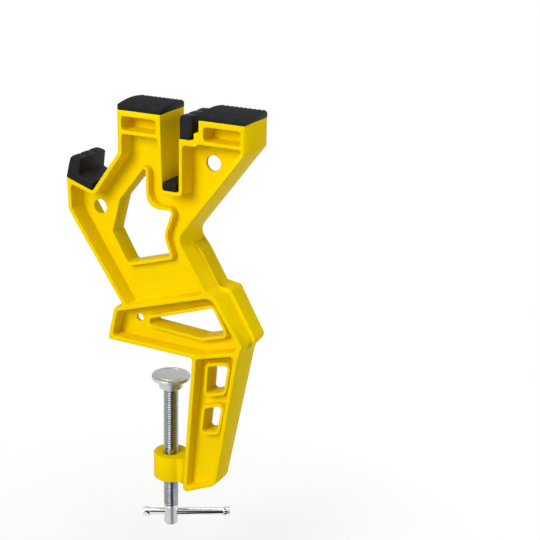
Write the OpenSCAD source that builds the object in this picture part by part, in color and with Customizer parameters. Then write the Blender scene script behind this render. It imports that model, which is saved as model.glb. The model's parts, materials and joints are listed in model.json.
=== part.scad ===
// Ski tuning vise: a two-sided ribbed moulding that clamps to a table edge, with rubber jaw
// linings, a clamp screw with a sliding T-bar and a pressure plate.
// X runs along the ski's width towards the clamp arm, Y through the depth, Z up.
// The origin is where the screw axis meets the table's top face, half way through the depth.

/* [Moulded body] */
// Depth of the moulding at the jaws
body_depth = 34.8; // [30:0.2:42]
// Depth of the moulding at the tip of the clamp arm
tip_depth = 18.6; // [16:0.2:24]
// Height above the table at which the moulding starts to get thinner
taper_start = 93; // [85:1:100]
// Thickness of the web in the middle of the moulding
web = 3.4; // [2.4:0.1:5]
// Thickness of the outer walls
rim = 3.3; // [2.6:0.1:4]
// Thickness of the walls beside and under the ski slot
slot_wall = 2.9; // [2.2:0.1:3.6]
// Thickness of the raised lips round the openings
lip = 2.6; // [2:0.1:3.2]
// Depth of the raised lips, through the web
lip_depth = 16; // [12:0.2:18]
// Radius of the inner corners of the pockets
pocket_r = 2.6; // [1.5:0.1:4]

/* [Upper jaws] */
// Height of the jaw tops above the table
jaw_top = 188.3; // [182:0.5:195]
// Width of the left jaw
left_jaw_w = 37.3; // [34:0.1:39]
// Distance from the screw axis to the slot's left edge at the top
slot_x = 1.3; // [0:0.1:2.6]
// Width of the ski slot at the top
slot_w = 16; // [15:0.1:17]
// Narrowing of the slot's left side towards its floor
slot_draft = 1.6; // [0.4:0.1:2]
// Depth of the ski slot below the jaw tops
slot_depth = 56.8; // [50:0.2:58]
// Width of the step beside the slot
step_w = 16.5; // [15:0.1:18]
// Depth of the step below the jaw tops
step_depth = 15.7; // [13:0.1:18]
// Width of the right jaw
right_jaw_w = 37.6; // [34:0.1:40]
// Height of the right jaw's outer side
right_jaw_side = 20.9; // [20.6:0.1:24]
// Radius of the corners at the slot's floor
slot_r = 1.5; // [0.8:0.1:2]
// Wall over the windows in the jaws
window_roof = 4.5; // [4:0.1:4.8]
// Height of the windows in the jaws
window_h = 10.8; // [9:0.1:11.1]
// Rib under the windows
window_rib = 2.7; // [2:0.1:3]

/* [Angled jaw] */
// Distance from the screw axis to the root of the angled jaw
vee_x = 60.1; // [58:0.1:63]
// Height of the root of the angled jaw
vee_z = 121.8; // [118:0.1:126]
// Height at which the ramp meets the left jaw's side
ramp_top = 155.4; // [152:0.1:160]
// Length of the ledge along X
ledge_run = 24.3; // [21:0.1:27]
// Rise of the ledge towards its outer end
ledge_rise = 7.7; // [5:0.1:10]
// Height of the angled jaw's outer side
vee_side = 25.6; // [20:0.1:28]

/* [Leg, foot and arm] */
// Waist of the leg, from the screw axis
waist_x = 16.3; // [14.5:0.1:18]
// Height of the waist
waist_z = 95.5; // [93.5:0.1:98]
// Length of the foot on the table, left of the screw axis
foot_reach = 50.6; // [47:0.1:56]
// Height of the foot at its outer end
foot_h = 28.2; // [26:0.1:31]
// Set-back of the foot's outer end at its top
foot_lean = 7.2; // [4:0.1:9]
// Rise of the foot's top rim for each millimetre to the right
foot_slope = 0.326; // [0.3:0.002:0.35]
// Distance from the screw axis to the throat, where the table edge rests
throat = 27.6; // [26:0.1:30]
// Length of the clamp arm below the table face
arm_drop = 122; // [118:0.5:126]
// Lean of the arm's inner face for each millimetre down
arm_lean = 0.0925; // [0.08:0.0005:0.105]
// How far the back half of the lower leg's outer face stands out
swell = 5.8; // [3:0.1:7]
// How far the back half of the upper leg's outer face stands out
tail_rise = 3.6; // [2.6:0.1:4.2]

/* [Holes] */
// Diameter of the round hole in the right jaw's web
right_hole_d = 12.5; // [9:0.1:15]
// Diameter of the round hole in the angled jaw's web
left_hole_d = 12; // [9:0.1:14]
// Diameter of the round hole in the foot's web
foot_hole_d = 6.4; // [4:0.1:8]

/* [Rubber linings] */
// Height of the jaw linings at their front edge
lining_h = 5.4; // [4:0.1:7]
// Extra height of the jaw linings half way through the depth
crown = 1.8; // [1:0.1:4]
// Depth of the pyramid teeth
tooth = 1.5; // [0.6:0.1:2]
// Teeth along the width of a lining
teeth_x = 10; // [6:1:12]
// Teeth through the depth of a lining
teeth_y = 10; // [6:2:12]
// Diameter of the pegs under the linings
peg_d = 5; // [3:0.1:7]
// Length of the pegs under the linings
peg_l = 3; // [1.5:0.1:3.4]
// Rounded bumps along the top of the upright linings
bumps = 3; // [2:1:6]
// Depth of the grooves between the bumps
bump_h = 2.3; // [0.8:0.1:2.6]
// Height of the upright lining in the step
upright_h = 18.2; // [15:0.1:20]
// Width of the upright lining in the step
upright_w = 10.3; // [8:0.1:11]
// Height of the pad on the slot's floor
floor_pad_h = 6.7; // [4:0.1:9]
// Width of the pad on the slot's floor
floor_pad_w = 11.9; // [9:0.1:13]

/* [Clamp screw] */
// Diameter of the screw thread
screw_d = 12; // [10:0.5:14]
// Outer diameter of the boss that carries the screw
boss_d = 28; // [25:0.2:30]
// Height of the boss
boss_h = 21; // [18:0.2:24]
// Distance from the arm's end up to the boss's underside
boss_up = 8; // [6:0.5:14]
// Thickness of the table that the plate is set to
table_t = 25; // [18:0.5:32]
// Length of the screw's thread
thread_l = 105; // [100:0.5:110]
// Length of the plain head below the thread
head_l = 17.6; // [15:0.1:22]
// Diameter of the plain head
head_d = 11.2; // [10.2:0.1:12]
// Distance from the head's end to the T-bar's axis
bar_up = 10.6; // [6:0.1:12]
// Diameter of the pressure plate
plate_d = 31; // [26:0.5:34]
// Thickness of the pressure plate
plate_t = 3; // [2.2:0.1:4]

/* [T-bar] */
// Diameter of the T-bar
bar_d = 6.2; // [5:0.1:7]
// Length of the T-bar over its caps
bar_l = 72.4; // [66:0.2:84]
// Diameter of the end caps
cap_d = 7.9; // [7.6:0.1:10]
// Length of the end caps
cap_l = 5.5; // [4:0.1:8]
// How far the T-bar is slid to one side
bar_shift = 12.75; // [0:0.05:16]
// Direction of the T-bar, in degrees from X
bar_angle = 31.2; // [0:0.1:90]

/* [Hidden] */
$fn = 64;

// Clearances
cut = 1;            // how far a cutter runs past a face
running_fit = 0.05; // radial gap of a shaft that turns or slides
loose_fit = 0.4;    // radial gap of a clearance hole
snug_fit = 0.1;     // gap round a rubber peg
seat_gap = 0.1;     // gap between a lining and the wall beside it

// Rounding of the outer corners
sharp_r = 0.9;
corner_steps = 5;

// Unit vector
function unit(v) = v / norm(v);
// Left-hand normal of the edge from a to b, which points into an outline drawn anticlockwise
function inward(a, b) = let (d = unit([b.x - a.x, b.y - a.y])) [-d.y, d.x];
// Point where two lines meet, each given by its normal and its distance along that normal
function meet(n1, c1, n2, c2) = let (det = n1.x * n2.y - n1.y * n2.x)
    [(c1 * n2.y - c2 * n1.y) / det, (n1.x * c2 - n2.x * c1) / det];

// Arc that rounds the corner b of a path from a through b to c, no larger than its edges allow
function corner(a, b, c, r) = r <= 0 ? [b] :
    let (u = unit(a - b), w = unit(c - b), half = acos(u * w) / 2,
        fit = min(r, 0.48 * min(norm(a - b), norm(c - b)) * tan(half)),
        centre = b + unit(u + w) * fit / sin(half),
        from = b + u * fit / tan(half) - centre, to = b + w * fit / tan(half) - centre,
        start = atan2(from.y, from.x), turn = atan2(to.y, to.x) - start,
        sweep = turn > 180 ? turn - 360 : turn < -180 ? turn + 360 : turn)
    [for (i = [0 : corner_steps])
        centre + fit * [cos(start + sweep * i / corner_steps), sin(start + sweep * i / corner_steps)]];

// Outline with round corners, from points [x, z, radius]
function rounded(v) = let (n = len(v), p = [for (q = v) [q.x, q.y]])
    [for (i = [0 : n - 1]) each corner(p[(i + n - 1) % n], p[i], p[(i + 1) % n], v[i].z)];

// Outline moved inwards edge by edge, from points [x, z, radius, distance of the edge that follows]
function inset(v) = let (n = len(v))
    [for (i = [0 : n - 1]) let (
        a = v[(i + n - 1) % n], b = v[i], c = v[(i + 1) % n],
        n1 = inward(a, b), n2 = inward(b, c),
        p = meet(n1, n1 * [b.x, b.y] + a[3], n2, n2 * [b.x, b.y] + b[3]))
        [p.x, p.y, b.z]];

// Outline moved outwards by t all round, for a lip
function outset(v, t) = inset([for (q = v) [q.x, q.y, max(q.z + (q[3] == 1 ? -t : t), 0.3), -t]]);

// Jaw places
slot_right = slot_x + slot_w;
slot_floor = jaw_top - slot_depth;
left_jaw_x = slot_x - left_jaw_w;
step_x = slot_right + step_w;
step_z = jaw_top - step_depth;
right_jaw_x = step_x + right_jaw_w;
window_floor = jaw_top - window_roof - window_h;
pocket_roof = window_floor - window_rib;
step_roof = step_z - window_roof;
jaw_side = jaw_top - right_jaw_side;

// Angled jaw places
ledge_end = [-vee_x - ledge_run, vee_z + ledge_rise];
vee_low = [ledge_end.x + 1.1, ledge_end.y - vee_side];

// Foot, leg and arm places
foot_top = [-foot_reach + foot_lean, foot_h];
leg_foot_x = -34.6;
shoulder_in = [40.2, 57.6];
shoulder_out = [48.5, 53];
swell_low = [70.8, 19.2];
arm_out_top = [66.9, 7];
arm_out_slope = 0.177;
waist_r = 9;         // radius of the moulding's right side in the waist
arm_end_rise = 15;   // height of the arm's outer end above its tip
arm_end_in = 8;      // part of the arm's drop that its outer slope leaves out
arm_tip_x = throat - arm_lean * arm_drop;
arm_end = [arm_out_top.x - arm_out_slope * (arm_drop - arm_end_in), -arm_drop + arm_end_rise];
arm_rib_left = [throat, 0.4];
arm_rib_right = [67.9, 12.4];
arm_rib = 3.2;
// Height of the foot's top rim at x
function foot_rim(x) = foot_top.y + foot_slope * (x - foot_top.x);
rim_x = 41.2;
rim_meets_leg = [rim_x, foot_rim(rim_x)];
// Outward normals of the leg's outer face, below and above its shoulder
lower_out = -inward(swell_low, shoulder_out);
upper_out = -inward(shoulder_in, [waist_x, waist_z]);
upper_along = unit([waist_x, waist_z] - shoulder_in);
rail_y = -0.8;      // where the raised back half of the leg's outer face starts
front_draft = 1.8;  // rise of that face's front half up to there
tail_taper = 2.3;   // fall of its upper part from there to the back
tail_l = 36;        // length of its upper part
shoulder_lift = 1.8; // how far its shoulder stands over the front half's
// Outline of the lower leg's face moved out by level, its shoulder lifted
function leg_plate(level, lift) = [[arm_out_top.x - 5, arm_out_top.y - 3, 0],
    [swell_low.x + level * lower_out.x, swell_low.y + level * lower_out.y - level / 3, 5],
    [shoulder_out.x + level * lower_out.x, shoulder_out.y + level * lower_out.y + lift / 2, 3],
    [shoulder_in.x - 3, shoulder_in.y + lift, 0]];

// Outer outline of the moulding, anticlockwise, as [x, z, corner radius]
body_outline = [
    [-foot_reach, 0, 2], [throat, 0, 3], [arm_tip_x, -arm_drop, 3], [arm_end.x, arm_end.y, 9],
    [arm_out_top.x, arm_out_top.y, 1.5], [swell_low.x, swell_low.y, 5],
    [shoulder_out.x, shoulder_out.y, 3], [shoulder_in.x, shoulder_in.y, 3],
    [waist_x, waist_z, waist_r], [right_jaw_x, jaw_side, 2], [right_jaw_x, jaw_top, sharp_r],
    [step_x, jaw_top, sharp_r], [step_x, step_z, sharp_r], [slot_right, step_z, sharp_r],
    [slot_right, slot_floor, slot_r], [slot_x + slot_draft, slot_floor, slot_r],
    [slot_x, jaw_top, sharp_r], [left_jaw_x, jaw_top, sharp_r], [left_jaw_x, ramp_top, 3],
    [-vee_x, vee_z, 1.2], [ledge_end.x, ledge_end.y, sharp_r], [vee_low.x, vee_low.y, 4],
    [leg_foot_x, foot_rim(leg_foot_x), 3], [foot_top.x, foot_top.y, 2]
];

// Pocket outlines, as [x, z, corner radius, wall outside the edge that follows]
main_pocket = [
    [leg_foot_x, foot_rim(leg_foot_x), pocket_r, 0],
    [rim_meets_leg.x, rim_meets_leg.y, pocket_r, rim],
    [waist_x, waist_z, waist_r + rim, rim], [right_jaw_x, jaw_side, pocket_r, rim],
    [right_jaw_x, pocket_roof, pocket_r, 0], [step_x, pocket_roof, 1.5, 0],
    [step_x - rim, step_roof, 1.5, 0], [slot_right, step_roof, pocket_r, slot_wall],
    [slot_right, slot_floor, 4, slot_wall], [slot_x + slot_draft, slot_floor, 4, slot_wall],
    [slot_x + slot_draft * (jaw_top - pocket_roof) / slot_depth, pocket_roof, pocket_r, 0],
    [left_jaw_x, pocket_roof, pocket_r, rim], [left_jaw_x, ramp_top, 5, rim],
    [-vee_x, vee_z, 3, rim], [ledge_end.x, ledge_end.y, pocket_r, rim],
    [vee_low.x, vee_low.y, 3, rim]
];
function foot_pocket(level) = [
    [-foot_reach, 0, pocket_r, rim], [throat, 0.2, 6, arm_rib / 2],
    [arm_rib_right.x, arm_rib_right.y, pocket_r, rim],
    [swell_low.x + level * lower_out.x, swell_low.y + level * lower_out.y, 4, rim],
    [shoulder_out.x + level * lower_out.x, shoulder_out.y + level * lower_out.y, 3, rim],
    [rim_meets_leg.x, rim_meets_leg.y, 5, rim], [foot_top.x, foot_top.y, pocket_r, rim]
];
arm_pocket = [
    [arm_rib_left.x, arm_rib_left.y, pocket_r, rim], [arm_tip_x, -arm_drop, pocket_r, rim],
    [arm_end.x, arm_end.y, 6, rim], [arm_rib_right.x, arm_rib_right.y, pocket_r, arm_rib / 2]
];

// Through openings, as [x, z, corner radius, 1 where the corner points into the opening]
large_opening = [
    [-17.6, 145.1, 1.5, 0], [-41, 116, 2.5, 0], [-48.2, 88.6, 2.5, 0], [-34, 65, 2.5, 0],
    [4.3, 76.9, 2, 0], [-1.5, 93, 12, 1], [5.6, 113.3, 2.2, 0], [-17.2, 112.6, 17, 1]
];
foot_opening = [
    [-14.5, 17.7, 1.8, 0], [32.9, 16, 6, 0], [53, 22.6, 2.6, 0], [41.8, 42.1, 2.4, 0],
    [-14.5, 22.4, 1.8, 0]
];
upper_arm_opening = [
    [38.3, -6.7, 2.4, 0], [36.7, -30.7, 2.4, 0], [51.9, -25, 2.4, 0], [56, -2.2, 2.4, 0]
];
lower_arm_opening = [
    [35.8, -43.1, 2.4, 0], [33.4, -64.6, 2.4, 0], [46.6, -60.1, 2.4, 0], [50.9, -37.3, 2.4, 0]
];
openings = [large_opening, foot_opening, upper_arm_opening, lower_arm_opening];

// Round holes in the web, as [x, z, diameter]
web_holes = [[37.6, 153.4, right_hole_d], [-63.9, 104.9, left_hole_d], [-27.7, 18.7, foot_hole_d]];

// Linings
bump_pitch = body_depth / bumps;
left_lining_x = left_jaw_x + left_jaw_w / 2;
right_lining_x = step_x + right_jaw_w / 2;
peg_spread = 9.5;
vee_wall_t = 11.9;  // thickness of the angled lining's upright
vee_wall_h = 18.4;  // height of the angled lining's upright above the ledge's end
vee_cut = 5.8;      // height of the slanted top of that upright
vee_set = 3;        // set-back of its outer side at the slanted top's lower end
ledge_pad = 5.9;    // thickness of the angled lining on the ledge
floor_gap = 0.2;    // gap between the slot's left wall and the floor pad
upright_in = 2.5;   // set-back of the step lining's outer side at its foot
upright_foot = 6.5; // height of that foot's slant
long = 200;         // length of a shape that reaches past the whole moulding
stop_rib_h = 5;     // height of the rib that holds the upright lining
stop_rib_set = 2.2; // how far that rib's ends lie inside the moulding's faces

// Screw, plate and T-bar places
bore_r = screw_d / 2 + loose_fit;
insert_af = screw_d * 1.5;
insert_h = 13;
boss_mid = -arm_drop + boss_up + boss_h / 2;
plate_top = -table_t;
plate_under = plate_top - plate_t;
ball_r = 5.2;
neck_r = 3.6;
ball_top = plate_under + 0.6;
ball_l = 4.6;
neck_l = 3;
ring_t = 1.4;
collar_r = 9.6;
collar_l = ball_l + neck_l;
shoulder_z = ball_top - ball_l - neck_l - 1.2;
thread_end = shoulder_z - thread_l;
head_end = thread_end - head_l;
bar_z = head_end + bar_up;
cap_socket = cap_l * 0.7;
rod_l = bar_l - 2 * (cap_l - cap_socket);

// Prism with the outline p in X and Z, centred through the depth
module slab(p, depth) {
    rotate([90, 0, 0]) linear_extrude(depth, center = true) polygon(p);
}

// Prism with the outline p in X and Z on one side of the web, open to the outside
module pocket(p, side) {
    translate([0, side * (web / 2 + body_depth / 2), 0]) slab(p, body_depth);
}

// The same on both sides of the web
module both_sides(p) {
    for (side = [-1, 1]) pocket(p, side);
}

// Prism along the edge from a to b, with the section p given as [distance outwards, y]
module along_edge(a, b, p) {
    d = unit(b - a);
    multmatrix([[d.y, 0, d.x, a.x], [0, 1, 0, 0], [-d.x, 0, d.y, a.y], [0, 0, 0, 1]])
        linear_extrude(norm(b - a)) polygon(p);
}

// Space that the moulding's depth fills: straight at the jaws, thinner towards the arm's tip
module depth_envelope() {
    half = body_depth / 2;
    tip = tip_depth / 2;
    side = [[half, jaw_top + cut], [half, taper_start], [tip, -arm_drop - cut]];
    rotate([90, 0, 90]) linear_extrude(long, center = true)
        polygon([each side, for (i = [2 : -1 : 0]) [-side[i].x, side[i].y]]);
}

// Outer face of the leg: the front half with a slight draft, the back half raised by a step
module leg_rail() {
    half = body_depth / 2;
    inner = -14;
    edge = unit(shoulder_out - swell_low) * 12;
    tail = shoulder_in + tail_l * upper_along;
    root = shoulder_in - upper_along;
    intersection() {
        slab(rounded(leg_plate(front_draft, 0)), body_depth + 2 * cut);
        along_edge(swell_low - edge, shoulder_out + edge, [[inner, -half - cut], [0, -half - cut],
            [0, -half + 2], [front_draft, rail_y], [inner, rail_y]]);
    }
    intersection() {
        slab(rounded(leg_plate(swell, shoulder_lift)), body_depth + 2 * cut);
        translate([0, rail_y + half, 0]) cube([long, 2 * half, 2 * long], center = true);
    }
    intersection() {
        slab(rounded([[root.x - 6, root.y, 0], [root.x + 5 * upper_out.x, root.y + 5 * upper_out.y, 0],
            [tail.x + tail_rise * upper_out.x, tail.y + tail_rise * upper_out.y, 1.6],
            [tail.x - 3 * upper_out.x, tail.y - 3 * upper_out.y, 0]]), body_depth + 2 * cut);
        along_edge(root, tail + 2 * upper_along, [[inner, rail_y], [tail_rise, rail_y],
            [tail_rise - tail_taper, half + cut], [inner, half + cut]]);
    }
}

// Boss of the clamp screw, with the block that joins it to the arm
module boss() {
    block = 17.4;
    translate([0, 0, boss_mid]) cylinder(h = boss_h, d = boss_d, center = true);
    reach = throat + arm_lean * boss_mid + rim / 2;
    translate([reach / 2, 0, boss_mid]) cube([reach, block, boss_h], center = true);
}

// Seat of the threaded insert
module insert_space(gap) {
    translate([0, 0, boss_mid])
        cylinder(h = insert_h + 2 * gap, r = (insert_af / 2 + gap) / cos(30), center = true, $fn = 6);
}

// Rib on the step that keeps the upright lining in its place
module stop_rib() {
    w = step_w - upright_w - 0.8 - seat_gap;
    translate([step_x - w / 2 + cut / 2, 0, step_z + stop_rib_h / 2 - cut / 2])
        cube([w + cut, body_depth - 2 * stop_rib_set, stop_rib_h + cut], center = true);
}

// Sockets for the pegs of the linings
module peg_places(x, z, spread) {
    for (y = [-1, 1]) translate([x, y * spread, z]) children();
}

// Outer form of the moulding, solid
module solid_form() {
    intersection() {
        union() {
            slab(rounded(body_outline), body_depth + 2 * cut);
            leg_rail();
        }
        depth_envelope();
    }
}

// Blind windows in the two upper jaws
module windows() {
    for (x = [[left_jaw_x + rim, slot_x - rim - 0.5], [step_x + rim + 0.6, right_jaw_x - rim]])
        both_sides(rounded([for (c = [[0, 0], [1, 0], [1, 1], [0, 1]])
            [x[c.x], window_floor + c.y * window_h, pocket_r]]));
}

module moulded_body() color("gold") difference() {
    union() {
        difference() {
            solid_form();
            both_sides(rounded(inset(main_pocket)));
            pocket(rounded(inset(foot_pocket(0))), -1);
            pocket(rounded(inset(foot_pocket(swell))), 1);
            both_sides(rounded(inset(arm_pocket)));
            windows();
        }
        for (o = openings) slab(rounded(outset(o, lip)), lip_depth);
        boss();
        stop_rib();
    }
    for (o = openings) slab(rounded([for (q = o) [q.x, q.y, q.z]]), lip_depth + 2 * cut);
    for (h = web_holes) translate([h.x, 0, h.y]) rotate([90, 0, 0])
        cylinder(h = web + 2 * cut, d = h.z, center = true);
    translate([0, 0, boss_mid]) cylinder(h = boss_h + 2 * cut, r = bore_r, center = true);
    insert_space(0);
    for (x = [left_lining_x, right_lining_x]) peg_places(x, jaw_top - peg_l - snug_fit, peg_spread)
        cylinder(h = peg_l + snug_fit + cut, d = peg_d + 2 * snug_fit);
}

// Rubber lining w wide with a crowned top of pyramid teeth
module toothed_lining(w) {
    px = w / teeth_x;
    py = body_depth / teeth_y;
    rise = crown;
    radius = (pow(body_depth / 2, 2) + rise * rise) / (2 * rise);
    // Height of the tooth tips at y
    function tip_z(y) = lining_h - rise + sqrt(radius * radius - y * y) - (radius - 2 * rise);
    // Points of the tooth valleys, then the tips, then the base corners along the two long sides
    valleys = [for (j = [0 : teeth_y], i = [0 : teeth_x])
        let (y = -body_depth / 2 + j * py) [-w / 2 + i * px, y, tip_z(y) - tooth]];
    tips = [for (j = [0 : teeth_y - 1], i = [0 : teeth_x - 1])
        let (y = -body_depth / 2 + (j + 0.5) * py) [-w / 2 + (i + 0.5) * px, y, tip_z(y)]];
    base = [for (c = [[-1, -1], [1, -1], [1, 1], [-1, 1]]) [c.x * w / 2, c.y * body_depth / 2, 0]];
    row = teeth_x + 1;
    nv = len(valleys);
    nb = nv + len(tips);
    cells = [for (j = [0 : teeth_y - 1], i = [0 : teeth_x - 1]) let (
        a = j * row + i, b = a + 1, c = b + row, d = a + row, t = nv + j * teeth_x + i)
        each [[a, t, b], [b, t, c], [c, t, d], [d, t, a]]];
    front = [nb, for (i = [0 : teeth_x]) i, nb + 1];
    right = [nb + 1, for (j = [0 : teeth_y]) j * row + teeth_x, nb + 2];
    back = [nb + 2, for (i = [teeth_x : -1 : 0]) teeth_y * row + i, nb + 3];
    left = [nb + 3, for (j = [teeth_y : -1 : 0]) j * row, nb];
    polyhedron([each valleys, each tips, each base],
        [each cells, front, right, back, left, [nb, nb + 1, nb + 2, nb + 3]]);
}

// Lining on a jaw top, with its pegs
module top_pad(x, w) {
    translate([x, 0, jaw_top]) toothed_lining(w);
    peg_places(x, jaw_top - peg_l, peg_spread) cylinder(h = peg_l + 0.5, d = peg_d);
}

// Space under a row of rounded bumps that run along Y and reach the height top
module under_bumps(top) {
    n = 6;
    half = bump_pitch / 2;
    radius = (half * half + bump_h * bump_h) / (2 * bump_h);
    wave = [for (k = [0 : bumps - 1], i = [0 : n - 1]) let (
        y = -body_depth / 2 + (k + i / n) * bump_pitch, d = (i / n - 0.5) * bump_pitch)
        [y, top - radius + sqrt(radius * radius - d * d)]];
    rotate([90, 0, 90]) linear_extrude(long, center = true)
        polygon([[body_depth / 2, 0], [body_depth / 2, top - bump_h],
            for (i = [len(wave) - 1 : -1 : 0]) wave[i], [-body_depth / 2, 0]]);
}

module left_top_pad() color("dimgray") top_pad(left_lining_x, left_jaw_w);

module right_top_pad() color("dimgray") top_pad(right_lining_x, right_jaw_w);

// Lining of the angled jaw: a pad on the ledge with a bumpy upright at its outer end
module angled_jaw_pad() color("dimgray") {
    along = unit(ledge_end - [-vee_x, vee_z]);
    up = [along.y, -along.x];
    root = [-vee_x, vee_z] + along * 0.5 + up * seat_gap;
    end = ledge_end + up * seat_gap;
    peak = end.y + vee_wall_h;
    face = end.x + vee_wall_t;
    intersection() {
        slab(rounded([[root.x, root.y, 0.6], [root.x + 0.2, root.y + ledge_pad, 0.6],
            [face, end.y + ledge_pad / 2, 1.2], [face + vee_set / 2, peak - vee_cut / 2, 1],
            [face - 1.2 * vee_set, peak, 1.2], [end.x + 1.6 * vee_set, peak - vee_cut / 5, 1],
            [end.x + vee_set, peak - vee_cut, 1], [end.x, end.y, 0.6]]), body_depth);
        under_bumps(peak);
    }
}

// Lining of the step: an upright beside the slot with a bumpy top
module upright_jaw_pad() color("dimgray") {
    x = slot_right + 0.8;
    z = step_z + seat_gap;
    top = step_z + upright_h;
    intersection() {
        slab(rounded([[x, z, 0.6], [x + upright_w - upright_in, z, 0.6],
            [x + upright_w, z + upright_foot, 0.8], [x + upright_w, top, 1], [x, top - 0.9, 0.8]]),
            body_depth);
        under_bumps(top);
    }
}

// Pad on the slot's floor, rounded below to fit the slot's corners
module slot_floor_pad() color("dimgray") {
    x = slot_x + slot_draft + floor_gap;
    slab(rounded([[x, slot_floor, slot_r], [x + floor_pad_w, slot_floor, slot_r],
        [x + floor_pad_w, slot_floor + floor_pad_h, 1], [x, slot_floor + floor_pad_h, 1]]),
        body_depth - 1);
}

module threaded_insert() color("goldenrod") difference() {
    insert_space(0);
    translate([0, 0, boss_mid])
        cylinder(h = insert_h + 2 * cut, r = screw_d / 2 + running_fit, center = true);
}

// Screw with a plain drilled head below and a necked end for the plate above
module clamp_screw() color("silver") difference() {
    union() {
        translate([0, 0, ball_top - ball_l]) cylinder(h = ball_l, r = ball_r);
        translate([0, 0, shoulder_z - cut]) cylinder(h = neck_l + ball_l - 1, r = neck_r);
        translate([0, 0, thread_end]) cylinder(h = thread_l, d = screw_d);
        translate([0, 0, head_end + 1]) cylinder(h = head_l, d = head_d);
        translate([0, 0, head_end]) cylinder(h = 1, d1 = head_d - 2, d2 = head_d);
    }
    translate([0, 0, bar_z]) rotate([0, 90, bar_angle])
        cylinder(h = head_d + 2 * cut, r = bar_d / 2 + running_fit, center = true);
}

// Puts its children on the T-bar's axis, at a distance from the bar's middle
module on_bar(d) {
    translate([0, 0, bar_z]) rotate([0, 0, bar_angle]) translate([bar_shift + d, 0, 0])
        rotate([0, 90, 0]) children();
}

module t_bar() color("silver") on_bar(0) cylinder(h = rod_l, d = bar_d, center = true);

// Cup that covers one end of the T-bar
module bar_cap(side) {
    on_bar(side * (bar_l - cap_l) / 2) difference() {
        rotate([0, side * 90 - 90, 0]) {
            translate([0, 0, -cap_l / 2]) cylinder(h = cap_l - 0.8, d = cap_d);
            translate([0, 0, cap_l / 2 - 0.8]) cylinder(h = 0.8, d1 = cap_d, d2 = cap_d - 1.6);
        }
        translate([0, 0, side * -cap_l / 2])
            cylinder(h = 2 * cap_socket, r = bar_d / 2 + 0.02, center = true);
    }
}

module bar_cap_left() color("gainsboro") bar_cap(-1);

module bar_cap_right() color("gainsboro") bar_cap(1);

// Plate that presses on the table from below, with the socket that turns on the screw's end
module pressure_plate() color("lightgray") difference() {
    union() {
        translate([0, 0, plate_under]) cylinder(h = plate_t, d = plate_d);
        translate([0, 0, plate_under - collar_l]) cylinder(h = collar_l + 0.5, r = collar_r);
    }
    translate([0, 0, plate_under - collar_l - cut])
        cylinder(h = ball_top - plate_under + collar_l + cut + 0.2, r = ball_r + running_fit);
    ring_space(0);
}

// Groove of the ring that keeps the screw's end in the plate
module ring_space(gap) {
    translate([0, 0, ball_top - ball_l - 0.3 - ring_t + gap])
        cylinder(h = ring_t - 2 * gap, r = ball_r + 1.6 - gap);
}

module plate_ring() color("dimgray") difference() {
    ring_space(0.02);
    translate([0, 0, plate_under - collar_l]) cylinder(h = collar_l, r = neck_r + 0.3);
}

moulded_body();
left_top_pad();
right_top_pad();
angled_jaw_pad();
upright_jaw_pad();
slot_floor_pad();
threaded_insert();
clamp_screw();
t_bar();
bar_cap_left();
bar_cap_right();
pressure_plate();
plate_ring();
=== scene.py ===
"""Ski tuning vise: the looks of its moulding, rubber linings, clamp screw, T-bar and plate."""
import json
import math

import bmesh
import bpy
from mathutils import Matrix, Vector
from mathutils.bvhtree import BVHTree
from mathutils.geometry import intersect_point_line


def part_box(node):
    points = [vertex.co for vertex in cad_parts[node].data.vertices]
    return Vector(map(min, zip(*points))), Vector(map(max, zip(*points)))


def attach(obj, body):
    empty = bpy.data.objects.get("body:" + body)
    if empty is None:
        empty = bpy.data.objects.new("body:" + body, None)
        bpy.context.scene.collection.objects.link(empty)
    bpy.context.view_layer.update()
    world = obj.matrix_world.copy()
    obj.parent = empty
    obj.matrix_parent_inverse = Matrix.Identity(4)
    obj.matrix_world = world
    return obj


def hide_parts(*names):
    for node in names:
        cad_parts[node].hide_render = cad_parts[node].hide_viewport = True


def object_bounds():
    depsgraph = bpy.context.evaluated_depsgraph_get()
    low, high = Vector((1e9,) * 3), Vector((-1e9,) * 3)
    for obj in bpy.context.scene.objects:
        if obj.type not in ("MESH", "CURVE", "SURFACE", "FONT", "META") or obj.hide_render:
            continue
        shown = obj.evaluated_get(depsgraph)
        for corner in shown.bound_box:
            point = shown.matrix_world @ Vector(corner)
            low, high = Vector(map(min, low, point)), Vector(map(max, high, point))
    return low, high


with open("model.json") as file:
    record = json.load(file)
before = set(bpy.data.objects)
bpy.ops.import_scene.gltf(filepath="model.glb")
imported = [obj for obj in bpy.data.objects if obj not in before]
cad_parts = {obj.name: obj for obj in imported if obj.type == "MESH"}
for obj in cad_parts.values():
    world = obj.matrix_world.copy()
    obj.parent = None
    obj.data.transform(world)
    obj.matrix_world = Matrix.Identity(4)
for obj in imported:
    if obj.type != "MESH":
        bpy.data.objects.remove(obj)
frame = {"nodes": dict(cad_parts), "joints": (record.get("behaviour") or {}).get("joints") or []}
cad_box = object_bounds()

MM = 0.001
SCENE = bpy.context.scene

# Camera: the photograph's view, worked out from the vise's straight edges
CAMERA_AZIMUTH = 31.2
CAMERA_ELEVATION = 19.4
CAMERA_PLACE = Vector((493.147, -809.620, 396.910)) * MM
IMAGE_SIZE = 540
FOCAL_PIXELS = 1300
CENTRE_PIXEL_X = 174
SENSOR_WIDTH = 36
NEAR_CLIP = 0.05

# Floor: its brightness to the camera and to the vise above, and where it fades to plain white
FLOOR_HALF = 6.0
FLOOR_GAP = 0.5 * MM
FLOOR_SEEN = 0.97
FLOOR_BOUNCE = 0.6
FADE_START = 0.10
FADE_END = 0.30
FADE_LEAST = 0.6

# Surroundings: strength on matt surfaces and in reflections
AMBIENT = 0.2
MIRRORED = 0.8

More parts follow.
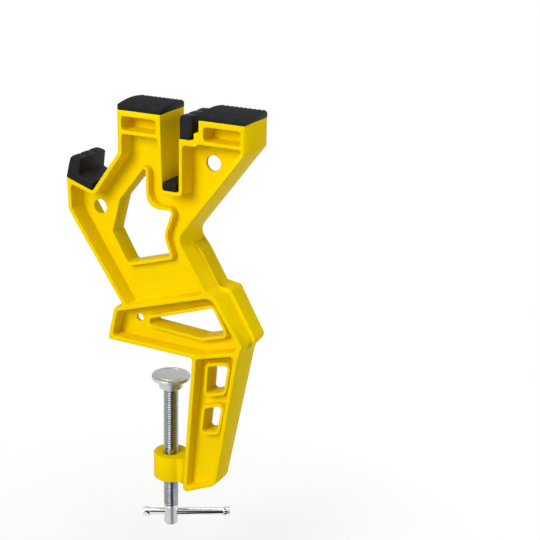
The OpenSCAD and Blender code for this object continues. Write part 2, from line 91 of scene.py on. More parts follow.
# Painted dark reflections for the steel, from the surroundings and from the floor: direction, inner
# and outer angle
SKY_DARK_REFLECTION = ((0.507, -0.837, 0.208), 17, 24)
FLOOR_DARK_REFLECTION = ((0.757, -0.653, 0.0), 12, 20)

# Lamps: place, diameter and power, all turned to one spot
LAMP_TARGET = (0, 0, 0.03)
LAMPS = {
    "key": ((-0.35, -1.57, 0.9), 1.0, 27),
    "top": ((0.2, -0.1, 1.6), 0.9, 10.5),
    "side": ((1.7, 0.3, 0.5), 0.9, 9.5),
}

# Zinc plating of the T-bar, of the screw's body with the plate, and of the thread: two shades
# and two roughnesses each
ZINC_BRIGHT = ((0.72, 0.73, 0.76, 1), (0.82, 0.83, 0.85, 1), 0.10, 0.16)
ZINC_SATIN = ((0.56, 0.57, 0.59, 1), (0.66, 0.67, 0.68, 1), 0.36, 0.46)
ZINC_THREAD = ((0.42, 0.43, 0.44, 1), (0.52, 0.53, 0.54, 1), 0.12, 0.20)

# Meshes taken from the solids: welding, and the angle under which faces count as one flat
WELD = 0.02 * MM
RING_WELD = 0.01 * MM
FLAT_ANGLE = 1.5
CUT_WELD = 1e-7
NO_AREA = 1e-9
ON_AXIS = 1e-9

# Rounding of the edges, and its self-check; angles in degrees
EDGE_ROUND = 0.5 * MM
LINING_ROUND = 0.35 * MM
TOOTH_ROUND = 0.12 * MM
RING_ROUND = 0.15 * MM
EDGE_STEPS = 3
FINE_STEPS = 2
EDGE_ANGLE = 50
TOOTH_ANGLE = 25
RING_ANGLE = 32
EDGE_TRIES = 6
PLAIN_REACH = 1.5 * MM
FAULT_REACH = 0.6 * MM

# Angles over which an edge stays crisp in smooth shading
CRISP_ROUNDED = 40
CRISP_TEETH = 30
CRISP_TURNED = 30
CRISP_CAPS = 28

# Raised back half of the leg: where it lies, and the run-out of its start
STEP_START = Vector((21.0, 0, 88.05)) * MM
STEP_SHOULDER = Vector((40.2, 0, 57.6)) * MM
STEP_FRONT = -0.9 * MM
STEP_BEFORE = 1 * MM
STEP_LENGTH = 38 * MM
STEP_HEIGHT = 4.5 * MM
STEP_MARGIN = 0.1 * MM
STEP_CUTS = 5
STEP_THIN = 0.1
RUN_OUT = 11 * MM

# Parting ridge on the side walls, and the places that have none
DRAFT_RIDGE = 0.4 * MM
MIDDLE_REACH = 0.001 * MM
WALL_TILT = 0.3
LEAST_REACH = 0.5
LEG_LEFT = 14 * MM
LEG_ZONE = (14 * MM, 94 * MM)
BOSS_RIGHT = 18.2 * MM
BOSS_ZONE = (-116 * MM, -91 * MM)
FOOT_REACH = 0.1 * MM

# Clamp screw: head, necked end and thread
SCREW_SIDES = 64
SCREW_HEAD = 17.6 * MM
HEAD_RADIUS = 5.6 * MM
HEAD_DOME = 2.2 * MM
DOME_STEP = 15
HEAD_CHAMFER = (0.4 * MM, 0.5 * MM)
SCREW_NECK = 8.8 * MM
NECK_RADIUS = 3.6 * MM
NECK_SHOULDER = 0.9 * MM
TIP_RADIUS = 5.2 * MM
TIP_LENGTH = 4.6 * MM
TIP_CHAMFER = 0.6 * MM
CORE_SLOPE = 0.1 * MM
CORE_GAP = 0.02 * MM
THREAD_PITCH = 2 * MM
THREAD_DEPTH = 1.15 * MM
THREAD_GAP = 0.2 * MM
THREAD_SIDES = 40
CREST_END = 0.30
ROOT_START = 0.52
ROOT_END = 0.78

# Hole through the head
BAR_HEIGHT = 10.6 * MM
BAR_PLAY = 0.05 * MM
DRILL_HALF = 9 * MM

# T-bar and its caps
BAR_SIDES = 48
BAR_RADIUS = 3.1 * MM
BAR_CHAMFER = 0.4 * MM
BAR_IN_CAP = 0.8 * MM
CAP_SIDES = 56
CAP_RADIUS = 3.95 * MM
CAP_LENGTH = 5.5 * MM
CAP_SOCKET = 3.85 * MM
CAP_GAP = 0.02 * MM
# Skirt, groove and domed end: millimetres inside the cap's radius, and from its outer end
CAP_SHAPE = ((0.5, 5.5), (0.12, 5.35), (0, 5.0), (0, 2.3), (0.2, 2.05), (0.75, 2.0), (0.75, 1.65),
             (0.2, 1.6), (0, 1.35), (0, 0.7), (0.2, 0.2), (0.7, 0))

# Pressure plate: disc, collar, and the socket with its ring's groove
PLATE_SIDES = 72
PLATE_THICK = 3 * MM
PLATE_ROLL = 0.9 * MM
ROLL_MIDDLE = 0.25 * MM
COLLAR_RADIUS = 9.6 * MM
COLLAR_CHAMFER = 0.6 * MM
COLLAR_FILLET = 0.8 * MM
SOCKET_RADIUS = 5.25 * MM
SOCKET_CHAMFER = 0.3 * MM
SOCKET_ROOF = 0.8 * MM
RING_GROOVE = 6.8 * MM
# Shallow groove in the plate's face: millimetres inside the plate's edge, and deep
FACE_GROOVE = ((3.2, 0), (3.5, 0.35), (4.3, 0.35), (4.6, 0))


# Small helpers

def new_object(name, mesh):
    """Object with this mesh, linked to the scene."""
    obj = bpy.data.objects.new(name, mesh)
    SCENE.collection.objects.link(obj)
    return obj


def mesh_object(name, verts, faces):
    """Object built from points and faces."""
    mesh = bpy.data.meshes.new(name)
    mesh.from_pydata([tuple(v) for v in verts], [], faces)
    mesh.validate()
    mesh.update()
    return new_object(name, mesh)


def bake_modifiers(obj):
    """Applies an object's modifiers to its mesh."""
    graph = bpy.context.evaluated_depsgraph_get()
    mesh = bpy.data.meshes.new_from_object(obj.evaluated_get(graph))
    obj.modifiers.clear()
    old = obj.data
    obj.data = mesh
    bpy.data.meshes.remove(old)


def smooth_shading(obj, angle):
    """Shades smooth, with edges sharper than the angle kept crisp."""
    for poly in obj.data.polygons:
        poly.use_smooth = True
    obj.data.set_sharp_from_angle(angle=math.radians(angle))


def solid_copy(node_name, name, weld):
    """Copy of a CAD node as a welded mesh whose flat faces are joined."""
    obj = new_object(name, frame["nodes"][node_name].data.copy())
    obj.data.materials.clear()
    bm = bmesh.new()
    bm.from_mesh(obj.data)
    bmesh.ops.remove_doubles(bm, verts=bm.verts, dist=weld)
    bmesh.ops.dissolve_degenerate(bm, dist=weld / 4, edges=bm.edges)
    bmesh.ops.dissolve_limit(bm, angle_limit=math.radians(FLAT_ANGLE), verts=bm.verts,
                             edges=bm.edges)
    bmesh.ops.recalc_face_normals(bm, faces=bm.faces)
    bm.to_mesh(obj.data)
    bm.free()
    return obj


def bevel(obj, width, segments, angle=0, limit="ANGLE"):
    """Rounds the edges sharper than an angle, or those that have a bevel weight."""
    mod = obj.modifiers.new("round", "BEVEL")
    mod.width = width
    mod.segments = segments
    mod.limit_method = limit
    mod.angle_limit = math.radians(angle)
    mod.use_clamp_overlap = False
    mod.miter_outer = "MITER_SHARP"
    mod.harden_normals = False
    bake_modifiers(obj)


def finish_piece(obj, material, body, slot, *nodes):
    """Gives a piece its material, the body that it rides on and the nodes that it stands for."""
    obj.data.materials.clear()
    obj.data.materials.append(material)
    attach(obj, body)
    if nodes:
        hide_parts(*nodes)


def lathe(name, profile, sides, place=Matrix.Identity(4)):
    """Closed solid turned about Z from a profile of radius and height, with ends on the axis."""
    verts = []
    rings = []
    for radius, height in profile:
        if radius < ON_AXIS:
            rings.append([len(verts)])
            verts.append(Vector((0, 0, height)))
            continue
        rings.append(list(range(len(verts), len(verts) + sides)))
        for k in range(sides):
            turn = math.tau * k / sides
            verts.append(Vector((radius * math.cos(turn), radius * math.sin(turn), height)))
    faces = []
    for low, high in zip(rings, rings[1:]):
        for k in range(sides):
            a = low[k % len(low)]
            b = low[(k + 1) % len(low)]
            c = high[(k + 1) % len(high)]
            d = high[k % len(high)]
            face = list(dict.fromkeys((a, b, c, d)))
            if len(face) > 2:
                faces.append(face)
    return mesh_object(name, [place @ v for v in verts], faces)


def frame_joint(name):
    """Record of one of the frame's joints."""
    return next(j for j in frame["joints"] if j["name"] == name)


# Materials

def principled(name, **values):
    """Node material with a Principled shader; returns its tree, shader and material."""
    material = bpy.data.materials.new(name)
    material.use_nodes = True
    tree = material.node_tree
    shader = tree.nodes["Principled BSDF"]
    for key, value in values.items():
        shader.inputs[key.replace("_", " ")].default_value = value
    return tree, shader, material


def node(tree, kind, **values):
    """Shader node with its properties and input values set."""
    made = tree.nodes.new(kind)
    for key, value in values.items():
        if key in made.inputs.keys():
            made.inputs[key].default_value = value
        else:
            setattr(made, key, value)
    return made


def link(tree, source, out, target, into):
    """Joins an output of one node to an input of another."""
    tree.links.new(source.outputs[out], target.inputs[into])


def noise(tree, scale, detail=3, rough=0.5):
    """Noise texture in object space, its scale in turns a metre."""
    place = node(tree, "ShaderNodeTexCoord")
    texture = node(tree, "ShaderNodeTexNoise", Scale=scale, Detail=detail, Roughness=rough)
    link(tree, place, "Object", texture, "Vector")
    return texture


def shade(tree, shader, patches, low, high, start=0.3, end=0.7):
    """Colours a shader from low to high over a noise."""
    ramp = node(tree, "ShaderNodeValToRGB")
    ramp.color_ramp.elements[0].position = start
    ramp.color_ramp.elements[0].color = low
    ramp.color_ramp.elements[1].position = end
    ramp.color_ramp.elements[1].color = high
    link(tree, patches, "Fac", ramp, "Fac")
    link(tree, ramp, "Color", shader, "Base Color")


def gloss(tree, shader, grain, smooth, rough):
    """Varies a shader's roughness over a noise."""
    spread = node(tree, "ShaderNodeMapRange")
    spread.inputs["To Min"].default_value = smooth
    spread.inputs["To Max"].default_value = rough
    link(tree, grain, "Fac", spread, "Value")
    link(tree, spread, "Result", shader, "Roughness")


def bump(tree, shader, grain, strength, distance):
    """Roughens a shader's surface over a noise."""
    made = node(tree, "ShaderNodeBump", Strength=strength, Distance=distance)
    link(tree, grain, "Fac", made, "Height")
    link(tree, made, "Normal", shader, "Normal")


def yellow_plastic():
    """Satin yellow moulded plastic with faint flow marks and a fine mould texture."""
    tree, shader, material = principled("yellow_plastic", Specular_IOR_Level=0.015)
    shade(tree, shader, noise(tree, scale=45, detail=4, rough=0.55),
          low=(0.83, 0.592, 0.0, 1), high=(0.87, 0.628, 0.0, 1), start=0.25, end=0.75)
    gloss(tree, shader, noise(tree, scale=220, detail=5, rough=0.6), smooth=0.36, rough=0.46)
    bump(tree, shader, noise(tree, scale=900, detail=3, rough=0.6), strength=0.12,
         distance=0.2 * MM)
    return material


def black_rubber():
    """Dull black rubber with a faint blue cast and a grained skin."""
    tree, shader, material = principled("black_rubber", Specular_IOR_Level=0.13)
    shade(tree, shader, noise(tree, scale=160, detail=4, rough=0.6),
          low=(0.004, 0.0045, 0.006, 1), high=(0.010, 0.011, 0.013, 1))
    gloss(tree, shader, noise(tree, scale=700, detail=4, rough=0.6), smooth=0.42, rough=0.58)
    bump(tree, shader, noise(tree, scale=1600, detail=3, rough=0.6), strength=0.25,
         distance=0.2 * MM)
    return material


def zinc_steel(name, low, high, smooth, rough):
    """Zinc-plated steel between two shades and two roughnesses."""
    tree, shader, material = principled(name, Metallic=1.0)
    shade(tree, shader, noise(tree, scale=300, detail=4, rough=0.6), low, high)
    gloss(tree, shader, noise(tree, scale=900, detail=4, rough=0.6), smooth, rough)
    bump(tree, shader, noise(tree, scale=1400, detail=2), strength=0.06, distance=0.1 * MM)
    return material


def spring_steel():
    """Dark oiled spring steel."""
    tree, shader, material = principled("spring_steel", Metallic=1.0)
    shade(tree, shader, noise(tree, scale=500),
          low=(0.10, 0.10, 0.11, 1), high=(0.17, 0.17, 0.18, 1))
    gloss(tree, shader, noise(tree, scale=900), smooth=0.28, rough=0.42)
    return material


def insert_brass():
    """Machined brass."""
    tree, shader, material = principled("insert_brass", Metallic=1.0)
    shade(tree, shader, noise(tree, scale=500),
          low=(0.60, 0.42, 0.16, 1), high=(0.70, 0.50, 0.21, 1))
    gloss(tree, shader, noise(tree, scale=900), smooth=0.22, rough=0.34)
    return material


# Moulding and linings

def run_out_step(obj):
    """Lets the raised back half of the leg start thin and rise to its height over the run-out."""
    along = (STEP_SHOULDER - STEP_START).normalized()
    out = Vector((-along.z, 0, along.x))
    bm = bmesh.new()
    bm.from_mesh(obj.data)

    def spot(vert):
        """Distance from the step's start, and height above the flank."""
        reach = vert.co - STEP_START
        return reach.dot(along), reach.dot(out)

    def on_step(vert):
        far, height = spot(vert)
        return (vert.co.y > STEP_FRONT and -STEP_BEFORE < far < STEP_LENGTH
                and -STEP_MARGIN < height < STEP_HEIGHT)

    for cut in range(1, STEP_CUTS + 1):
        faces = [f for f in bm.faces if all(on_step(v) for v in f.verts)]
        edges = list({e for f in faces for e in f.edges})
        verts = list({v for f in faces for v in f.verts})
        place = STEP_START + along * (RUN_OUT * cut / STEP_CUTS)
        bmesh.ops.bisect_plane(bm, geom=verts + edges + faces, dist=CUT_WELD, plane_co=place,
                               plane_no=along)
    for vert in bm.verts:
        far, height = spot(vert)
        if on_step(vert) and far < RUN_OUT and height > STEP_MARGIN:
            rise = math.sin(max(far, 0) / RUN_OUT * math.pi / 2)
            left = STEP_THIN + (1 - STEP_THIN) * rise
            vert.co += out * (height * (left - 1))
    bm.to_mesh(obj.data)
    bm.free()


def has_ridge(place):
    """Whether the walls at a place half way through the depth carry the parting ridge."""
    on_boss = BOSS_ZONE[0] < place.z < BOSS_ZONE[1] and place.x < BOSS_RIGHT
    on_foot = abs(place.z) < FOOT_REACH
    on_leg = place.x > LEG_LEFT and LEG_ZONE[0] < place.z < LEG_ZONE[1]
    return abs(place.y) <= MIDDLE_REACH and not (on_boss or on_foot or on_leg)


def add_parting_ridge(obj):
    """Cuts the side walls half way through the depth and lifts the cut, as mould draft does."""
    bm = bmesh.new()
    bm.from_mesh(obj.data)
    bmesh.ops.bisect_plane(bm, geom=bm.verts[:] + bm.edges[:] + bm.faces[:], dist=CUT_WELD,
                           plane_co=(0, 0, 0), plane_no=(0, 1, 0))
    bm.normal_update()
    moves = {}
    for vert in bm.verts:
        if not has_ridge(vert.co):
            continue
        walls = {tuple(round(c, 2) for c in f.normal): f.normal for f in vert.link_faces
                 if abs(f.normal.y) < WALL_TILT}
        if not walls:
            continue
        flat = [Vector((n.x, 0, n.z)).normalized() for n in walls.values()]
        mean = sum(flat, Vector()).normalized()
        reach = max(min(mean.dot(n) for n in flat), LEAST_REACH)
        moves[vert] = mean * (DRAFT_RIDGE / reach)
    for vert, move in moves.items():
        vert.co += move
    bm.to_mesh(obj.data)
    bm.free()


def split_large_faces(obj):
    """Cuts faces of more than four corners into triangles."""
    bm = bmesh.new()
    bm.from_mesh(obj.data)
    large = [f for f in bm.faces if len(f.verts) > 4]
    bmesh.ops.triangulate(bm, faces=large, quad_method="BEAUTY", ngon_method="BEAUTY")
    bm.to_mesh(obj.data)
    bm.free()


def mark_edges(mesh, plain):
    """Gives a bevel weight to the sharp edges that keep clear of the plain places."""
    bm = bmesh.new()
    bm.from_mesh(mesh)
    weight = bm.edges.layers.float.new("bevel_weight_edge")
    for edge in bm.edges:
        if len(edge.link_faces) != 2 or edge.calc_face_angle() < math.radians(EDGE_ANGLE):
            continue
        start, end = (vert.co for vert in edge.verts)
        clear = True
        for place in plain:
            along = min(max(intersect_point_line(place, start, end)[1], 0), 1)
            if (start.lerp(end, along) - place).length < PLAIN_REACH:
                clear = False
                break
        if clear:
            edge[weight] = 1.0
    bm.to_mesh(mesh)
    bm.free()


def mesh_faults(mesh, surface):
    """Centres of the faces that leave the unrounded surface or are turned away from it."""
    found = []
    for poly in mesh.polygons:
        _, normal, _, gap = surface.find_nearest(poly.center)
        turned = poly.area > NO_AREA and poly.normal.dot(normal) < 0
        if gap > FAULT_REACH or turned:
            found.append(poly.center.copy())
    return found


def round_edges(obj, width):
    """Rounds the sharp edges; where rounding breaks the mesh, the edges nearby stay sharp."""
    sharp = obj.data.copy()
    sharp.calc_loop_triangles()
    surface = BVHTree.FromPolygons([v.co.copy() for v in sharp.vertices],
                                   [tuple(t.vertices) for t in sharp.loop_triangles])
    plain = []
    for _ in range(EDGE_TRIES):
        obj.data = sharp.copy()
        mark_edges(obj.data, plain)
        bevel(obj, width, EDGE_STEPS, limit="WEIGHT")
        split_large_faces(obj)
        found = mesh_faults(obj.data, surface)
        if not found:
            break
        plain += found


def make_moulding(material):
    """Moulding with the leg's run-out, the parting ridge and rounded edges."""
    obj = solid_copy("moulded_body", "moulding", WELD)
    run_out_step(obj)
    add_parting_ridge(obj)
    round_edges(obj, EDGE_ROUND)
    smooth_shading(obj, CRISP_ROUNDED)
    finish_piece(obj, material, "vise", "yellow_plastic", "moulded_body")


def make_linings(material):
    """Rubber linings: fine rounding on the toothed ones, softer edges on the others."""
    for node_name in ("left_top_pad", "right_top_pad"):
        obj = solid_copy(node_name, node_name + "_lining", WELD)
        bevel(obj, TOOTH_ROUND, FINE_STEPS, TOOTH_ANGLE)
        smooth_shading(obj, CRISP_TEETH)
        finish_piece(obj, material, "vise", "black_rubber", node_name)
    for node_name in ("angled_jaw_pad", "upright_jaw_pad", "slot_floor_pad"):
        obj = solid_copy(node_name, node_name + "_lining", WELD)
        round_edges(obj, LINING_ROUND)
        smooth_shading(obj, CRISP_ROUNDED)
        finish_piece(obj, material, "vise", "black_rubber", node_name)


# Clamp screw, T-bar and plate

def thread_surface(radius, low, high):
    """Points and faces of a right-hand thread about Z, run out into plain rings at both ends."""
    root = radius - THREAD_DEPTH
    shape = ((0.0, radius), (CREST_END, radius), (ROOT_START, root), (ROOT_END, root))
    turns = math.ceil((high - low) / THREAD_PITCH) + 1
    verts = []
    faces = []
    columns = len(shape)
    for step in range(turns * THREAD_SIDES + 1):
        turn = math.tau * step / THREAD_SIDES
        start = low - THREAD_PITCH + THREAD_PITCH * step / THREAD_SIDES
        for along, out in shape:
            height = start + along * THREAD_PITCH
            inside = min(max(height, low), high)
            if inside != height:
                out = root
            verts.append(Vector((out * math.cos(turn), out * math.sin(turn), inside)))
    for step in range(turns * THREAD_SIDES):
        for k in range(columns - 1):
            a = step * columns + k
            faces.append((a, a + columns, a + columns + 1, a + 1))
        a = step * columns + columns - 1
        above = a + 1 - columns + THREAD_SIDES * columns
        if above + columns < len(verts):
            faces.append((a, a + columns, above + columns, above))
    return verts, faces


def make_screw(material, thread_material):
    """Screw with its thread, its plain drilled head and its necked end."""
    low, high = (Vector(corner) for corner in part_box("clamp_screw"))
    radius = (high.x - low.x) / 2
    head_top = low.z + SCREW_HEAD
    neck_low = high.z - SCREW_NECK
    tip_low = high.z - TIP_LENGTH
    core = radius - THREAD_DEPTH - CORE_GAP
    chamfer_in, chamfer_down = HEAD_CHAMFER
    profile = [(0, low.z), (HEAD_RADIUS - HEAD_DOME, low.z)]
    profile += [(HEAD_RADIUS - HEAD_DOME * (1 - math.sin(t)), low.z + HEAD_DOME * (1 - math.cos(t)))
                for t in (math.radians(a) for a in range(DOME_STEP, 91, DOME_STEP))]
    profile += [(HEAD_RADIUS, head_top - chamfer_down), (HEAD_RADIUS - chamfer_in, head_top),
                (core, head_top + CORE_SLOPE), (core, neck_low - CORE_SLOPE),
                (radius - NECK_SHOULDER, neck_low), (NECK_RADIUS, neck_low),
                (NECK_RADIUS, tip_low), (TIP_RADIUS, tip_low),
                (TIP_RADIUS, high.z - TIP_CHAMFER), (TIP_RADIUS - TIP_CHAMFER, high.z), (0, high.z)]
    body = lathe("screw_body", profile, SCREW_SIDES)
    drill_screw(body, low.z + BAR_HEIGHT)
    verts, faces = thread_surface(radius, head_top + THREAD_GAP, neck_low - THREAD_GAP)
    thread = mesh_object("screw_thread", verts, faces)
    for obj, look in ((body, material), (thread, thread_material)):
        smooth_shading(obj, CRISP_TURNED)
        finish_piece(obj, look, "screw", "zinc_steel", "clamp_screw")


def drill_screw(body, height):
    """Cuts the T-bar's hole through the screw's head."""
    hole = BAR_RADIUS + BAR_PLAY
    turn = bar_direction().to_track_quat("Z", "Y").to_matrix().to_4x4()
    place = Matrix.Translation((0, 0, height)) @ turn
    tool = lathe("drill", [(0, -DRILL_HALF), (hole, -DRILL_HALF), (hole, DRILL_HALF),
                           (0, DRILL_HALF)], BAR_SIDES, place)
    cut = body.modifiers.new("drill", "BOOLEAN")
    cut.object = tool
    cut.operation = "DIFFERENCE"
    cut.solver = "EXACT"
    bake_modifiers(body)
    bpy.data.objects.remove(tool)


def bar_direction():
    """Unit vector along the T-bar, from the left cap to the right one."""
    return Vector(frame_joint("bar_slide")["axis"]).normalized()


def box_centre(name):
    """Middle of a CAD node's box."""
    low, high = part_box(name)
    return (Vector(low) + Vector(high)) / 2


def bar_place(name, side):
    """Matrix that puts a shape's Z along the T-bar at a node's centre, pointing outwards."""
    turn = (bar_direction() * side).to_track_quat("Z", "Y").to_matrix().to_4x4()
    return Matrix.Translation(box_centre(name)) @ turn


def make_bar(material):
    """T-bar with chamfered ends, and its two grooved end caps."""
    span = (box_centre("bar_cap_right") - box_centre("bar_cap_left")).length
    half = span / 2 + BAR_IN_CAP
    end = BAR_RADIUS - BAR_CHAMFER
    rod = lathe("bar_rod", [(0, -half), (end, -half), (BAR_RADIUS, -half + BAR_CHAMFER),
                            (BAR_RADIUS, half - BAR_CHAMFER), (end, half), (0, half)],
                BAR_SIDES, bar_place("t_bar", 1))
    smooth_shading(rod, CRISP_TURNED)
    finish_piece(rod, material, "bar", "zinc_steel", "t_bar")
    for node_name, side in (("bar_cap_left", -1), ("bar_cap_right", 1)):
        cap = lathe(node_name + "_turned", cap_profile(), CAP_SIDES, bar_place(node_name, side))
        smooth_shading(cap, CRISP_CAPS)
        finish_piece(cap, material, "bar", "zinc_steel", node_name)


def cap_profile():
    """Outline of an end cap: its socket, a rounded skirt, a groove and a domed end."""
    half = CAP_LENGTH / 2
    hole = BAR_RADIUS + CAP_GAP
    socket = [(0, CAP_SOCKET - half), (hole, CAP_SOCKET - half), (hole, -half)]
    outside = [(CAP_RADIUS - inside * MM, half - down * MM) for inside, down in CAP_SHAPE]
    return socket + outside + [(0, half)]


def make_plate(material, ring_material):
    """Pressure plate with a rolled edge and a collar, and the ring in its socket."""
    low, high = (Vector(corner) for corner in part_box("pressure_plate"))
    outer = (high.x - low.x) / 2
    top = high.z
    under = top - PLATE_THICK
    roof = under + SOCKET_ROOF
    groove_low, groove_high = (corner[2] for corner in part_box("plate_ring"))
    profile = [(0, roof), (SOCKET_RADIUS, roof), (SOCKET_RADIUS, groove_high),
               (RING_GROOVE, groove_high), (RING_GROOVE, groove_low), (SOCKET_RADIUS, groove_low),
               (SOCKET_RADIUS, low.z + SOCKET_CHAMFER), (SOCKET_RADIUS + SOCKET_CHAMFER, low.z),
               (COLLAR_RADIUS - COLLAR_CHAMFER, low.z), (COLLAR_RADIUS, low.z + COLLAR_CHAMFER),
               (COLLAR_RADIUS, under - COLLAR_FILLET),
               (COLLAR_RADIUS + ROLL_MIDDLE, under - ROLL_MIDDLE),
               (COLLAR_RADIUS + COLLAR_FILLET, under),
               (outer - PLATE_ROLL, under), (outer - ROLL_MIDDLE, under + ROLL_MIDDLE),
               (outer, under + PLATE_ROLL), (outer, top - PLATE_ROLL),
               (outer - ROLL_MIDDLE, top - ROLL_MIDDLE), (outer - PLATE_ROLL, top)]
    profile += [(outer - inside * MM, top - down * MM) for inside, down in FACE_GROOVE]
    plate = lathe("plate_turned", profile + [(0, top)], PLATE_SIDES)
    smooth_shading(plate, CRISP_TURNED)
    finish_piece(plate, material, "plate", "zinc_steel", "pressure_plate")
    ring = solid_copy("plate_ring", "retaining_ring", RING_WELD)
    bevel(ring, RING_ROUND, FINE_STEPS, RING_ANGLE)
    smooth_shading(ring, CRISP_ROUNDED)
    finish_piece(ring, ring_material, "plate", "spring_steel", "plate_ring")


# Stage, light and camera

def maths(tree, operation, first, second):
    """Math node; each operand is a number or a pair of node and output."""
    made = node(tree, "ShaderNodeMath", operation=operation)
    for index, operand in enumerate((first, second)):
        if isinstance(operand, tuple):
            link(tree, operand[0], operand[1], made, index)
        else:
            made.inputs[index].default_value = operand
    return made


def near_direction(tree, source, out, direction, inner, outer):
    """1 where a vector points within the inner angle of a direction, 0 past the outer one."""
    unit = node(tree, "ShaderNodeVectorMath", operation="NORMALIZE")
    link(tree, source, out, unit, 0)
    dot = node(tree, "ShaderNodeVectorMath", operation="DOT_PRODUCT")
    link(tree, unit, "Vector", dot, 0)
    dot.inputs[1].default_value = direction
    made = node(tree, "ShaderNodeMapRange")
    made.inputs["From Min"].default_value = math.cos(math.radians(outer))
    made.inputs["From Max"].default_value = math.cos(math.radians(inner))
    link(tree, dot, "Value", made, "Value")
    return made


def floor_material():
    """Matt white that keeps a shadow and fades to plain white; glossy rays see it glowing white, a
    painted reflection, with a painted dark patch for the steel.
    """
    material = bpy.data.materials.new("floor_white")
    material.use_nodes = True
    tree = material.node_tree
    tree.nodes.clear()
    out = node(tree, "ShaderNodeOutputMaterial")
    matte = node(tree, "ShaderNodeBsdfDiffuse")
    glow = node(tree, "ShaderNodeEmission", Color=(1, 1, 1, 1), Strength=1.0)
    path = node(tree, "ShaderNodeLightPath")
    extra = maths(tree, "MULTIPLY", (path, "Is Camera Ray"), FLOOR_SEEN - FLOOR_BOUNCE)
    white = maths(tree, "ADD", (extra, "Value"), FLOOR_BOUNCE)
    link(tree, white, "Value", matte, "Color")
    place = node(tree, "ShaderNodeTexCoord")
    length = node(tree, "ShaderNodeVectorMath", operation="LENGTH")
    link(tree, place, "Object", length, 0)
    far = node(tree, "ShaderNodeMapRange")
    far.inputs["From Min"].default_value = FADE_START
    far.inputs["From Max"].default_value = FADE_END
    far.inputs["To Min"].default_value = FADE_LEAST
    link(tree, length, "Value", far, "Value")
    # Painted reflection: glossy rays see the floor as glowing plain white
    seen = maths(tree, "MULTIPLY", (far, "Result"), (path, "Is Camera Ray"))
    amount = maths(tree, "MAXIMUM", (seen, "Value"), (path, "Is Glossy Ray"))
    # Painted dark reflection: a patch of the floor that only glossy rays see dark
    dark_reflection = near_direction(tree, place, "Object", *FLOOR_DARK_REFLECTION)
    mirrored = maths(tree, "MULTIPLY", (dark_reflection, "Result"), (path, "Is Glossy Ray"))
    strength = maths(tree, "SUBTRACT", 1.0, (mirrored, "Value"))
    link(tree, strength, "Value", glow, "Strength")
    mix = node(tree, "ShaderNodeMixShader")
    link(tree, amount, "Value", mix, "Fac")
    link(tree, matte, "BSDF", mix, 1)
    link(tree, glow, "Emission", mix, 2)
    link(tree, mix, "Shader", out, "Surface")
    return material


def make_floor():
    """Floor just below the screw's lowest reach."""
    half = FLOOR_HALF
    floor = mesh_object("floor", [(-half, -half, 0), (half, -half, 0), (half, half, 0),
                                  (-half, half, 0)], [(0, 1, 2, 3)])
    low, _ = cad_box
    floor.location.z = low[2] + frame_joint("plate_lift")["range_m"][0] - FLOOR_GAP
    floor.data.materials.append(floor_material())


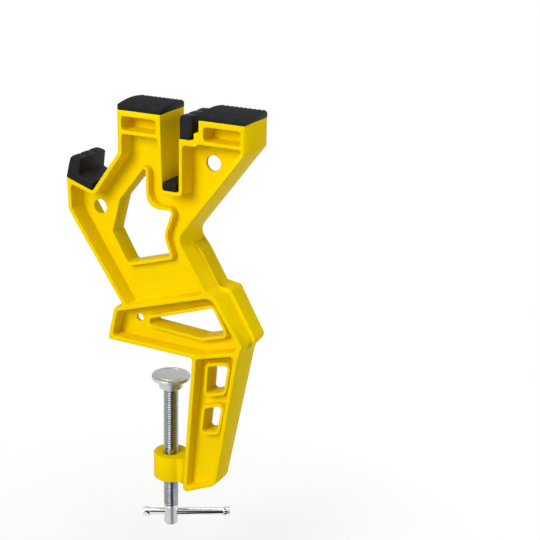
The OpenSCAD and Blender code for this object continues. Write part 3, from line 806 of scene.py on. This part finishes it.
def make_world():
    """Soft white surroundings, seen as plain white, brighter in reflections than on matt surfaces,
    with a painted dark reflection in one direction that glossy rays alone see.
    """
    world = bpy.data.worlds.new("studio")
    SCENE.world = world
    world.use_nodes = True
    tree = world.node_tree
    tree.nodes.clear()
    out = node(tree, "ShaderNodeOutputWorld")
    soft = node(tree, "ShaderNodeBackground", Color=(1, 1, 1, 1))
    seen = node(tree, "ShaderNodeBackground", Color=(1, 1, 1, 1), Strength=1.0)
    path = node(tree, "ShaderNodeLightPath")
    place = node(tree, "ShaderNodeTexCoord")
    # Painted dark reflection: glossy rays see the surroundings darker near one direction
    dark_reflection = near_direction(tree, place, "Generated", *SKY_DARK_REFLECTION)
    light = maths(tree, "SUBTRACT", 1.0, (dark_reflection, "Result"))
    shine = maths(tree, "MULTIPLY", (light, "Value"), MIRRORED)
    strength = node(tree, "ShaderNodeMapRange")
    strength.inputs["To Min"].default_value = AMBIENT
    link(tree, path, "Is Glossy Ray", strength, "Value")
    link(tree, shine, "Value", strength, "To Max")
    link(tree, strength, "Result", soft, "Strength")
    mix = node(tree, "ShaderNodeMixShader")
    link(tree, path, "Is Camera Ray", mix, "Fac")
    link(tree, soft, "Background", mix, 1)
    link(tree, seen, "Background", mix, 2)
    link(tree, mix, "Shader", out, "Surface")


def make_lights():
    """Round lamps, all turned to the same spot on the vise."""
    for name, (place, size, power) in LAMPS.items():
        data = bpy.data.lights.new(name, "AREA")
        data.shape = "DISK"
        data.size = size
        data.energy = power
        lamp = bpy.data.objects.new(name, data)
        SCENE.collection.objects.link(lamp)
        lamp.location = place
        aim = Vector(LAMP_TARGET) - Vector(place)
        lamp.rotation_euler = aim.to_track_quat("-Z", "Y").to_euler()


def make_camera():
    """Camera at the photograph's place, shifted as the photograph is cropped."""
    data = bpy.data.cameras.new("camera")
    data.sensor_width = SENSOR_WIDTH
    data.sensor_fit = "HORIZONTAL"
    data.lens = FOCAL_PIXELS / IMAGE_SIZE * data.sensor_width
    data.shift_x = (IMAGE_SIZE / 2 - CENTRE_PIXEL_X) / IMAGE_SIZE
    data.clip_start = NEAR_CLIP
    camera = bpy.data.objects.new("camera", data)
    SCENE.collection.objects.link(camera)
    a = math.radians(CAMERA_AZIMUTH)
    e = math.radians(CAMERA_ELEVATION)
    right = Vector((math.cos(a), math.sin(a), 0))
    back = Vector((math.sin(a) * math.cos(e), -math.cos(a) * math.cos(e), math.sin(e)))
    up = back.cross(right)
    turn = Matrix((right, up, back)).transposed().to_4x4()
    camera.matrix_world = Matrix.Translation(CAMERA_PLACE) @ turn
    SCENE.camera = camera


def main():
    """Dresses every piece and sets the stage; the insert keeps the frame's own solid."""
    plastic = yellow_plastic()
    rubber = black_rubber()
    bright = zinc_steel("zinc_steel", *ZINC_BRIGHT)
    satin = zinc_steel("zinc_satin", *ZINC_SATIN)
    dull = zinc_steel("zinc_thread", *ZINC_THREAD)
    make_moulding(plastic)
    make_linings(rubber)
    make_screw(satin, dull)
    make_bar(bright)
    make_plate(satin, spring_steel())
    insert = frame["nodes"]["threaded_insert"]
    insert.data.materials.clear()
    insert.data.materials.append(insert_brass())
    make_floor()
    make_world()
    make_lights()
    make_camera()
    SCENE.view_settings.view_transform = "Standard"


main()
